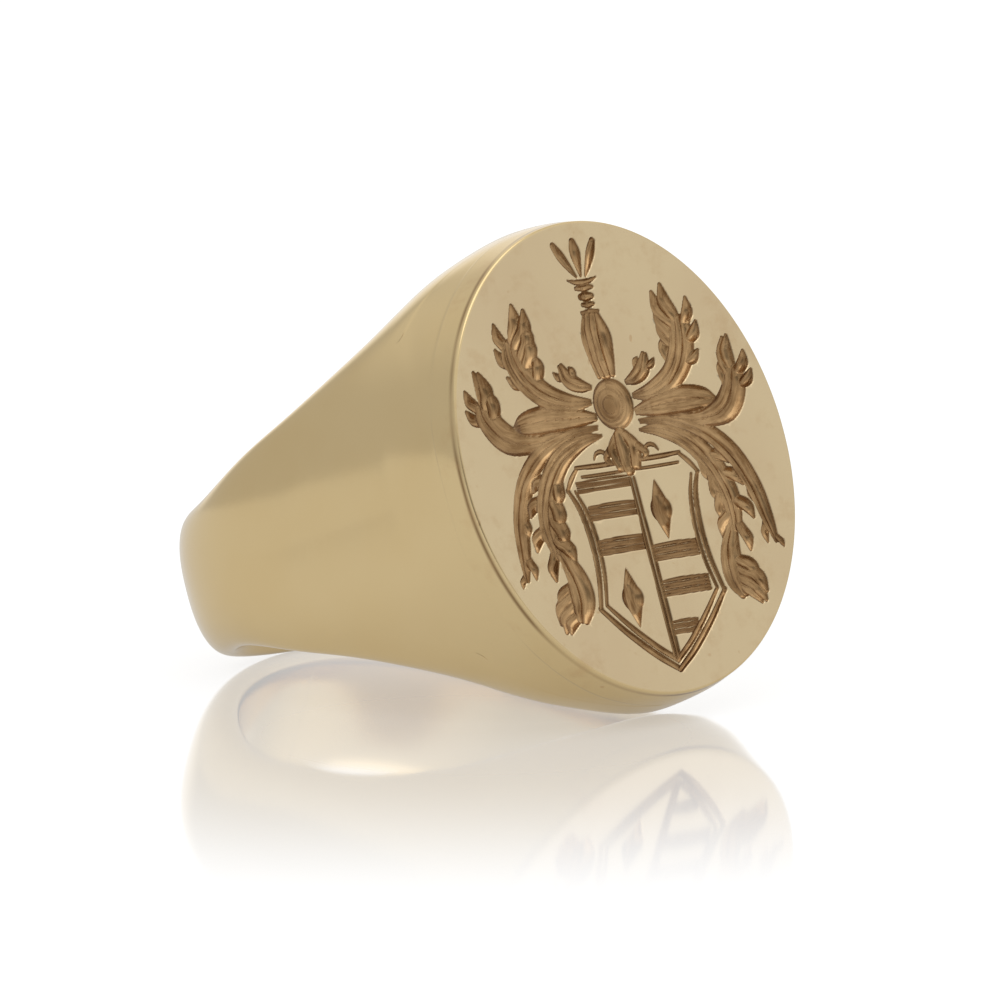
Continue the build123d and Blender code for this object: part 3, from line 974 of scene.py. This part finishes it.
def engraved_gold(name, gold):
    """Polished face with small stains and pits, a painted dark line of shade round its edge, and brown
    patina and graver lines in its cuts. Painted shade darkens the cuts' sides towards the patina's colour."""
    material, shader = new_material(name)
    place = shader.place()
    cloud, rub, grain = wear(shader, place)
    patina, floor = opaque(gold.patina), opaque(gold.cut)
    depth = shader.layer("cut_depth")
    across = shader.layer("cut_across") * LINES_ACROSS
    along = shader.layer("cut_along") * LINES_ALONG
    lines_place = shader.node("ShaderNodeCombineXYZ", {}, {"X": across, "Y": along, "Z": 0.0})
    lines = shader.noise(lines_place, *LINES)
    cut = shader.ramp(depth, *CUT_START)
    pits = shader.patches(place, PITS)
    side_colour = clouded(shader, cloud, gold.warm, gold.pale)
    face_colour = clouded(shader, cloud, gold.face_warm, gold.face_pale)
    colour = shader.blend(shader.layer("face_share"), side_colour, face_colour)
    # Painted shade: a dark line round the face's edge, in the patina's colour, stronger in patches.
    edge_shade = EDGE_SHADE_SHARE + shader.patches(place, EDGE_SHADE_PATCHES) * EDGE_SHADE_PATCH_SHARE
    colour = shader.blend(shader.layer("edge_line") * edge_shade, colour, patina)
    marks = shader.patches(place, STAINS) * STAIN_SHARE + pits * PIT_SHARE
    colour = shader.blend(marks, colour, floor)
    brown = shader.blend(shader.ramp(lines, *LINE_EDGE), patina, floor)
    brown = shader.blend(shader.patches(place, SMUDGES) * SMUDGE_SHARE, brown, floor)
    brown = shader.blend(shader.patches(place, DARK_PLACES) * DARK_SHARE, brown, patina)
    # Painted shade: the cuts' shallow, steep sides are darkened towards the patina's colour.
    side = (1.0 - shader.ramp(depth, *CUT_SIDE_SHADE)) * SIDE_SHADE_SHARE
    brown = shader.blend(side, brown, patina)
    colour = shader.blend(cut, colour, brown)
    rough = worn_roughness(gold, cloud, rub) + cut * CUT_ROUGHNESS
    height = rub * FACE_HEIGHTS[0] + grain * FACE_HEIGHTS[1]
    height = height - pits * PIT_HEIGHT + cut * lines * LINE_HEIGHT
    finish_metal(shader, colour, rough, shader.bump(height, FACE_BUMP))
    return material


def solder_gold(name, gold):
    """Solder: a little duller and rougher than the gold round it."""
    material, shader = new_material(name)
    cloud, rub, grain = wear(shader, shader.place())
    colour = clouded(shader, cloud, gold.solder, gold.pale)
    rough = gold.roughness + SOLDER_ROUGHNESS + (rub - 0.5) * SOLDER_UNEVEN
    finish_metal(shader, colour, rough, shader.bump((cloud + grain) * 0.5, SOLDER_BUMP))
    return material


# ---- settings, panel and run ----

class RingShape(PropertyGroup):
    shoulder_blend: FloatProperty(name="Shoulder Blend", default=0.0015, unit="LENGTH",
                                  description="Width of the soft edge between wall and shoulder")
    bore_rounding: FloatProperty(name="Bore Rounding", default=0.0006, unit="LENGTH",
                                 description="Width of the rounded edge of the finger hole")


def gold_colour(name, description, default):
    return FloatVectorProperty(name=name, description=description, default=default,
                               subtype="COLOR", min=0, max=1)


class RingGold(PropertyGroup):
    warm: gold_colour("Warm Gold", "Deeper colour of the body", (0.70, 0.53, 0.275))
    pale: gold_colour("Pale Gold", "Lighter colour of the body", (0.72, 0.555, 0.30))
    face_warm: gold_colour("Warm Face", "Deeper colour of the seal face", (0.72, 0.56, 0.34))
    face_pale: gold_colour("Pale Face", "Lighter colour of the seal face", (0.76, 0.605, 0.37))
    cut: gold_colour("Cut Gold", "Colour of the cuts' floors", (0.56, 0.36, 0.175))
    patina: gold_colour("Patina", "Darkest brown in the cuts", (0.16, 0.075, 0.025))
    solder: gold_colour("Solder", "Colour of the solder seams", (0.62, 0.48, 0.27))
    roughness: FloatProperty(name="Roughness", default=0.15, min=0, max=1,
                             description="Roughness of the worn polish")


class RingSettings(PropertyGroup):
    shape: PointerProperty(type=RingShape)
    gold: PointerProperty(type=RingGold)


CAMERA_TURN = -42.9  # degrees, from looking along +Y
CAMERA_RISE = 10.4
CAMERA_DISTANCE = 580.0  # mm
CAMERA_SCALE = 24.2  # thousandths of the frame's width per mm at the ring
CAMERA_AIM = (2.57, 7.18)  # mm to the right of and above the floor point under the finger hole
SENSOR_WIDTH = 36.0  # mm
FLOOR_SIZE = 1.5  # m, half the side of the floor
FLOOR_GREY = (0.36, 0.36, 0.36, 1)
FLOOR_GLOW = 0.37  # the floor's own light
FLOOR_GLOW_SEEN = 0.31  # and what is added to it where the camera sees it
FLOOR_DUST = (60.0, 3.0, 0.6)
GLOSS_ROUGHNESS = 0.05
DUST_ROUGHNESS = 0.03
REFLECTION = 0.52  # share of gloss in the floor next to the ring
REFLECTION_MIDDLE = 12.0  # mm from the ring towards the camera, middle of the glossy patch
REFLECTION_START = 8.0  # mm from there to where the gloss starts to fade
REFLECTION_END = 40.0  # and to where it has faded out
STUDIO_LEVEL = 0.61  # brightness of the studio in mirror images, round the horizon
SOFT_LEVEL = 1.12  # and for soft light and the camera
# Parts of the studio: cosines of the angles where they start and end, and the brightness they add.
CEILING = (0.45, 0.70, 0.20)
TOP_LIGHT = (0.86, 0.93, 0.90)
FACE_LIGHT = (0.70, 0.97, 0.14)
BACK_LIGHT = (0.74, 0.97, 0.45)
CAMERA_SHADE = (0.86, 0.985, 0.55)  # the last number is the share that it takes away


def camera_back():
    """Direction from the ring to the camera."""
    turn, rise = radians(CAMERA_TURN), radians(CAMERA_RISE)
    return Vector((sin(turn) * cos(rise), -cos(turn) * cos(rise), sin(rise)))


def floor_material():
    """White floor whose gloss fades with the distance from a point in front of the ring."""
    material, shader = new_material("floor_white")
    place = shader.place()
    back = camera_back()
    middle = Vector((back.x, back.y, 0)).normalized() * REFLECTION_MIDDLE * MM
    values = {0: place, 1: middle}
    reach = shader.node("ShaderNodeVectorMath", {"operation": "DISTANCE"}, values, output="Value")
    fade = 1.0 - shader.ramp(reach, REFLECTION_START * MM, REFLECTION_END * MM)
    seen = shader.node("ShaderNodeLightPath", {}, {}, output="Is Camera Ray")
    dust = shader.noise(place, *FLOOR_DUST)
    matt = shader.node("ShaderNodeBsdfPrincipled", {}, {
        "Base Color": FLOOR_GREY, "Roughness": 1.0, "Specular IOR Level": 0.0,
        "Emission Color": FLOOR_GLOW + seen * FLOOR_GLOW_SEEN, "Emission Strength": 1.0})
    gloss = shader.node("ShaderNodeBsdfPrincipled", {}, {
        "Base Color": (1, 1, 1, 1), "Metallic": 1.0, "Roughness": GLOSS_ROUGHNESS + dust * DUST_ROUGHNESS})
    mixed = shader.node("ShaderNodeMixShader", {}, {0: fade * seen * REFLECTION, 1: matt, 2: gloss})
    shader.node("ShaderNodeOutputMaterial", {}, {"Surface": mixed})
    return material


def studio_world():
    """Pale studio: white for the camera and for soft light. For mirror images it's bright overhead,
    behind the ring and where the face looks, mid grey round the horizon, and darker round the camera."""
    world = bpy.data.worlds.new("studio")
    world.use_nodes = True
    shader = Shader(world.node_tree)
    way = shader.node("ShaderNodeTexCoord", {}, {}, output="Generated")

    def part(direction, look):
        start, end, height = look
        values = {0: way, 1: direction.normalized()}
        facing = shader.node("ShaderNodeVectorMath", {"operation": "DOT_PRODUCT"}, values, output="Value")
        return shader.ramp(facing, start, end) * height

    up, back, front = Vector((0, 0, 1)), camera_back(), Vector(FRONT)
    face_sees = 2 * back.dot(front) * front - back
    behind = Vector((-back.x, -back.y, back.z))
    level = STUDIO_LEVEL + part(up, CEILING) + part(up, TOP_LIGHT)
    level = level + part(face_sees, FACE_LIGHT) + part(behind, BACK_LIGHT)
    level = level * (1.0 - part(back, CAMERA_SHADE))
    mirror = shader.node("ShaderNodeLightPath", {}, {}, output="Is Glossy Ray")
    light = level * mirror + (1.0 - mirror) * SOFT_LEVEL
    back = shader.node("ShaderNodeBackground", {}, {"Color": light, "Strength": 1.0})
    shader.node("ShaderNodeOutputWorld", {}, {"Surface": back})
    return world


class RING_OT_stage(Operator):
    """Pale floor with a fading gloss, soft studio light and the camera"""
    bl_idname = "ring.stage"
    bl_label = "Stage"

    def execute(self, context):
        scene = context.scene
        scene.view_settings.view_transform = "Standard"
        mesh = bpy.data.meshes.new("floor")
        corners = [(-FLOOR_SIZE, -FLOOR_SIZE, 0), (FLOOR_SIZE, -FLOOR_SIZE, 0),
                   (FLOOR_SIZE, FLOOR_SIZE, 0), (-FLOOR_SIZE, FLOOR_SIZE, 0)]
        mesh.from_pydata(corners, [], [(0, 1, 2, 3)])
        mesh.materials.append(floor_material())
        floor = bpy.data.objects.new("floor", mesh)
        scene.collection.objects.link(floor)
        scene.world = studio_world()
        add_camera(scene)
        return {"FINISHED"}


def add_camera(scene):
    """The camera, level with the horizon and turned to the aim point."""
    back = camera_back()
    right = Vector((cos(radians(CAMERA_TURN)), sin(radians(CAMERA_TURN)), 0))
    up = back.cross(right)
    ground = Vector((0, MIDDLE[1], 0))
    position = ground + back * CAMERA_DISTANCE
    target = ground + right * CAMERA_AIM[0] + up * CAMERA_AIM[1]
    data = bpy.data.cameras.new("camera")
    data.sensor_width = SENSOR_WIDTH
    data.lens = CAMERA_SCALE * CAMERA_DISTANCE * SENSOR_WIDTH / 1000
    data.clip_start = 0.01
    data.clip_end = 10.0
    camera = bpy.data.objects.new("camera", data)
    away = (position - target).normalized()
    side = Vector((0, 0, 1)).cross(away).normalized()
    over = away.cross(side)
    turn_matrix = Matrix((side, over, away)).transposed().to_4x4()
    camera.matrix_world = Matrix.Translation(position * MM) @ turn_matrix
    scene.collection.objects.link(camera)
    scene.camera = camera


class RING_PT_panel(Panel):
    bl_label = "Signet Ring"
    bl_idname = "RING_PT_panel"
    bl_space_type = "VIEW_3D"
    bl_region_type = "UI"
    bl_category = "Signet Ring"

    def draw(self, context):
        for operator in OPERATORS:
            self.layout.operator(operator.bl_idname)


OPERATORS = (RING_OT_body, RING_OT_plate, RING_OT_seams, RING_OT_stage)
CLASSES = (RingShape, RingGold, RingSettings) + OPERATORS + (RING_PT_panel,)


def register():
    for cls in CLASSES:
        bpy.utils.register_class(cls)
    bpy.types.Scene.ring_settings = PointerProperty(type=RingSettings)


def unregister():
    del bpy.types.Scene.ring_settings
    for cls in reversed(CLASSES):
        bpy.utils.unregister_class(cls)


def main():
    """Build the pieces and the stage."""
    register()
    bpy.ops.ring.body()
    bpy.ops.ring.plate()
    bpy.ops.ring.seams()
    bpy.ops.ring.stage()


if __name__ == "__main__":
    main()
